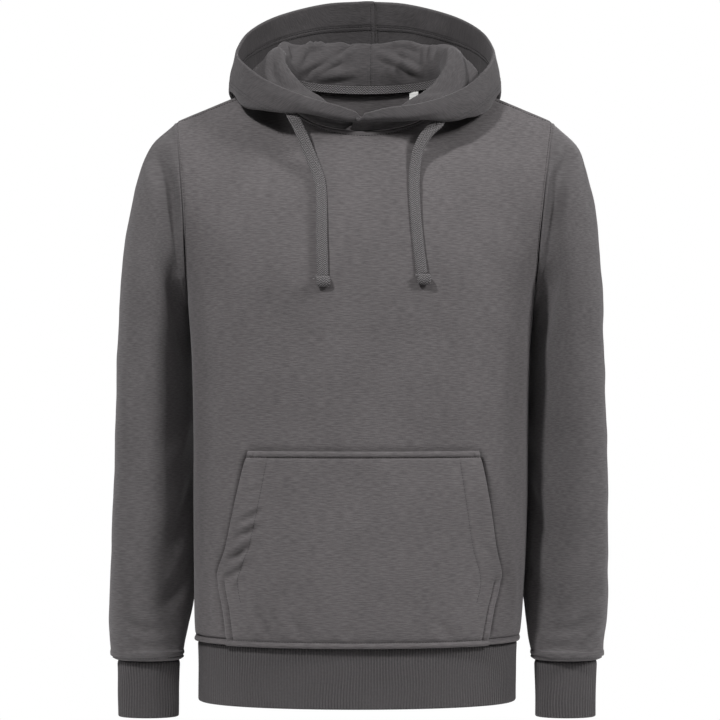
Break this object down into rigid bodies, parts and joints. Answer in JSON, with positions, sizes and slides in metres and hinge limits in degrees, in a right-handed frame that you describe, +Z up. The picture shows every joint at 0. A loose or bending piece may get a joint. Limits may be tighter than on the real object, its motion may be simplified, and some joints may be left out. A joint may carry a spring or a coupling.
{
  "type": "pullover hoodie",
  "caption": "Charcoal pullover hoodie in its worn shape, with a hood thrown back, kangaroo pocket, flat drawcords and ribbed waistband and cuffs.",
  "frame": {"origin": "midway between the neck ends of the two shoulder seams, where the wearer's shoulders carry the garment", "axes": "+Z up from waistband to hood, the front faces -Y, +X towards the wearer's left sleeve"},
  "size_m": [0.5694, 0.2783, 0.8325],
  "materials": {
    "fleece": "matte",
    "rib": "matte",
    "cord": "matte",
    "tape": "matte",
    "tab": "matte"
  },
  "bodies": {
    "root": {"front": "fleece", "back": "fleece", "sleeve_left": "fleece", "sleeve_right": "fleece", "hood_left": "fleece", "hood_right": "fleece", "pocket": "fleece", "hem_rib": "rib", "cuff_left": "rib", "cuff_right": "rib", "drawcord_left": "cord", "drawcord_right": "cord", "cord_knot_left": "cord", "cord_knot_right": "cord", "neck_tape": "tape", "size_tab": "tab"}
  },
  "joints": []
}
